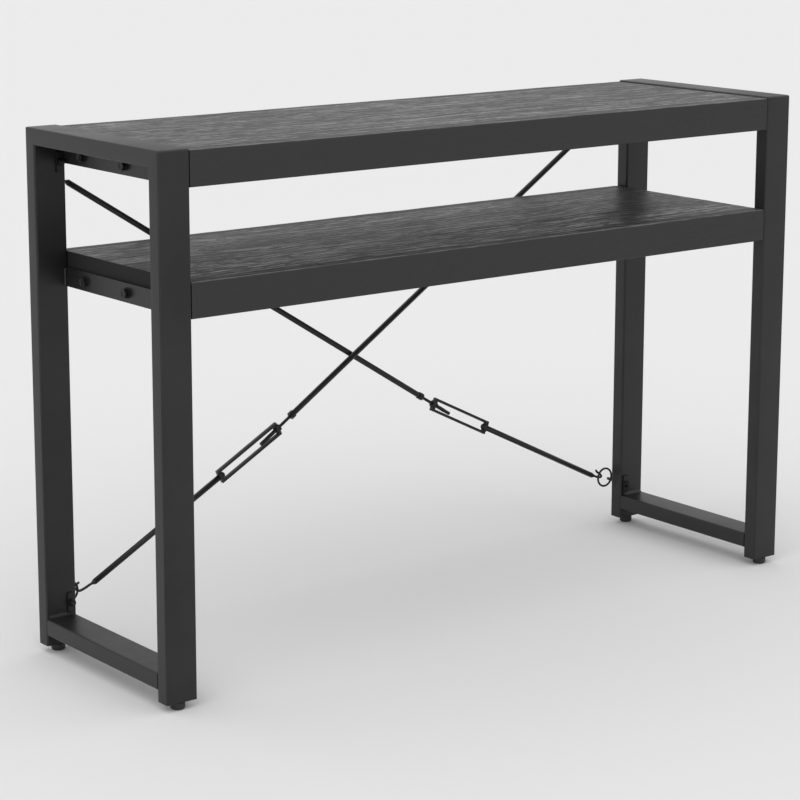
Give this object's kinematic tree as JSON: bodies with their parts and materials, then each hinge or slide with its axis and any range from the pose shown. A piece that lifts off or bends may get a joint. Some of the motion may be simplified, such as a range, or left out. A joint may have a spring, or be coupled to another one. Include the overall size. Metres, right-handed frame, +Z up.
{
  "type": "console table",
  "caption": "Long narrow console table: black tube end frames, dark wooden top and shelf, and crossed rod braces with turnbuckles across the open back.",
  "frame": {"origin": "centre of the footprint on the floor, the footprint including the braces that stand proud of the back posts", "axes": "+X along the table's length, -Y the open front, +Y the braced back, +Z up"},
  "size_m": [1.2, 0.3704, 0.78],
  "materials": {
    "frame_steel": "satin black powder coat, faintly textured",
    "weld_steel": "satin black powder coat over a rippled weld bead",
    "brace_steel": "satin black paint, rubbed at the bends",
    "black_fasteners": "black oxide, slightly worn edges",
    "zinc_screws": "zinc plate",
    "insert_steel": "plain machined steel",
    "foot_glide": "matt black nylon glide on a threaded stem",
    "plank_wood": "black-washed wood, open grain, worn streaks",
    "lip_wood": "black-stained wood, satin, softly worn edges",
    "batten_wood": "dark-stained wood"
  },
  "bodies": {
    "frame": {"left_front_post": "frame_steel", "left_back_post": "frame_steel", "left_top_rail": "frame_steel", "left_bottom_rail": "frame_steel", "left_frame_welds": "weld_steel", "left_top_crossbar": "frame_steel", "left_shelf_crossbar": "frame_steel", "right_front_post": "frame_steel", "right_back_post": "frame_steel", "right_top_rail": "frame_steel", "right_bottom_rail": "frame_steel", "right_frame_welds": "weld_steel", "right_top_crossbar": "frame_steel", "right_shelf_crossbar": "frame_steel", "foot_inserts": "insert_steel", "panel_bolts": "black_fasteners", "panel_washers": "black_fasteners", "plank_screws": "zinc_screws", "top_plank_front": "plank_wood", "top_plank_middle": "plank_wood", "top_plank_back": "plank_wood", "top_front_lip": "lip_wood", "top_back_lip": "lip_wood", "top_battens": "batten_wood", "shelf_plank_front": "plank_wood", "shelf_plank_middle": "plank_wood", "shelf_plank_back": "plank_wood", "shelf_front_lip": "lip_wood", "shelf_back_lip": "lip_wood", "shelf_battens": "batten_wood", "eye_bolts": "brace_steel", "anchor_plates": "brace_steel", "anchor_nuts": "black_fasteners", "rising_upper_ring": "brace_steel", "rising_upper_hook": "brace_steel", "rising_upper_rod": "brace_steel", "rising_collar_nut": "brace_steel", "falling_upper_ring": "brace_steel", "falling_upper_hook": "brace_steel", "falling_upper_rod": "brace_steel", "falling_collar_nut": "brace_steel"},
    "foot_front_left": {"foot_front_left": "foot_glide"},
    "foot_back_left": {"foot_back_left": "foot_glide"},
    "foot_front_right": {"foot_front_right": "foot_glide"},
    "foot_back_right": {"foot_back_right": "foot_glide"},
    "rising_tie": {"rising_lower_rod": "brace_steel", "rising_lower_hook": "brace_steel", "rising_lower_ring": "brace_steel"},
    "rising_turnbuckle": {"rising_turnbuckle_bars": "brace_steel", "rising_turnbuckle_ends": "brace_steel"},
    "rising_screw": {"rising_tension_screw": "brace_steel"},
    "falling_tie": {"falling_lower_rod": "brace_steel", "falling_lower_hook": "brace_steel", "falling_lower_ring": "brace_steel"},
    "falling_turnbuckle": {"falling_turnbuckle_bars": "brace_steel", "falling_turnbuckle_ends": "brace_steel"},
    "falling_screw": {"falling_tension_screw": "brace_steel"}
  },
  "joints": [
    {"name": "foot_front_left_level", "type": "slide", "parent": "frame", "child": "foot_front_left", "axis": [0, 0, -1], "range_m": [0, 0.01]},
    {"name": "foot_back_left_level", "type": "slide", "parent": "frame", "child": "foot_back_left", "axis": [0, 0, -1], "range_m": [0, 0.01]},
    {"name": "foot_front_right_level", "type": "slide", "parent": "frame", "child": "foot_front_right", "axis": [0, 0, -1], "range_m": [0, 0.01]},
    {"name": "foot_back_right_level", "type": "slide", "parent": "frame", "child": "foot_back_right", "axis": [0, 0, -1], "range_m": [0, 0.01]},
    {"name": "rising_slack", "type": "slide", "parent": "frame", "child": "rising_tie", "axis": [-0.8383, -0.0097, -0.5451], "range_m": [0, 0.0024]},
    {"name": "rising_screw_turn", "type": "hinge", "parent": "rising_tie", "child": "rising_screw", "pos_m": [-0.16498, 0.16697, 0.27307], "axis": [-0.8383, -0.0097, -0.5451], "range_deg": [0, 1081]},
    {"name": "rising_turnbuckle_spin", "type": "hinge", "parent": "rising_tie", "child": "rising_turnbuckle", "pos_m": [-0.16498, 0.16697, 0.27307], "axis": [-0.8688, 0.0204, -0.4947], "continuous": true},
    {"name": "falling_slack", "type": "slide", "parent": "frame", "child": "falling_tie", "axis": [0.8486, 0.0054, -0.5291], "range_m": [0, 0.0024]},
    {"name": "falling_screw_turn", "type": "hinge", "parent": "falling_tie", "child": "falling_screw", "pos_m": [0.1605, 0.17917, 0.26449], "axis": [0.8486, 0.0054, -0.5291], "range_deg": [0, 1081]},
    {"name": "falling_turnbuckle_spin", "type": "hinge", "parent": "falling_tie", "child": "falling_turnbuckle", "pos_m": [0.1605, 0.17917, 0.26449], "axis": [0.8942, -0.0112, -0.4475], "continuous": true}
  ],
  "couplings": [
    {"joint": "rising_screw_turn", "follows": "rising_slack", "rad_per_m": 7854},
    {"joint": "falling_screw_turn", "follows": "falling_slack", "rad_per_m": 7854}
  ]
}
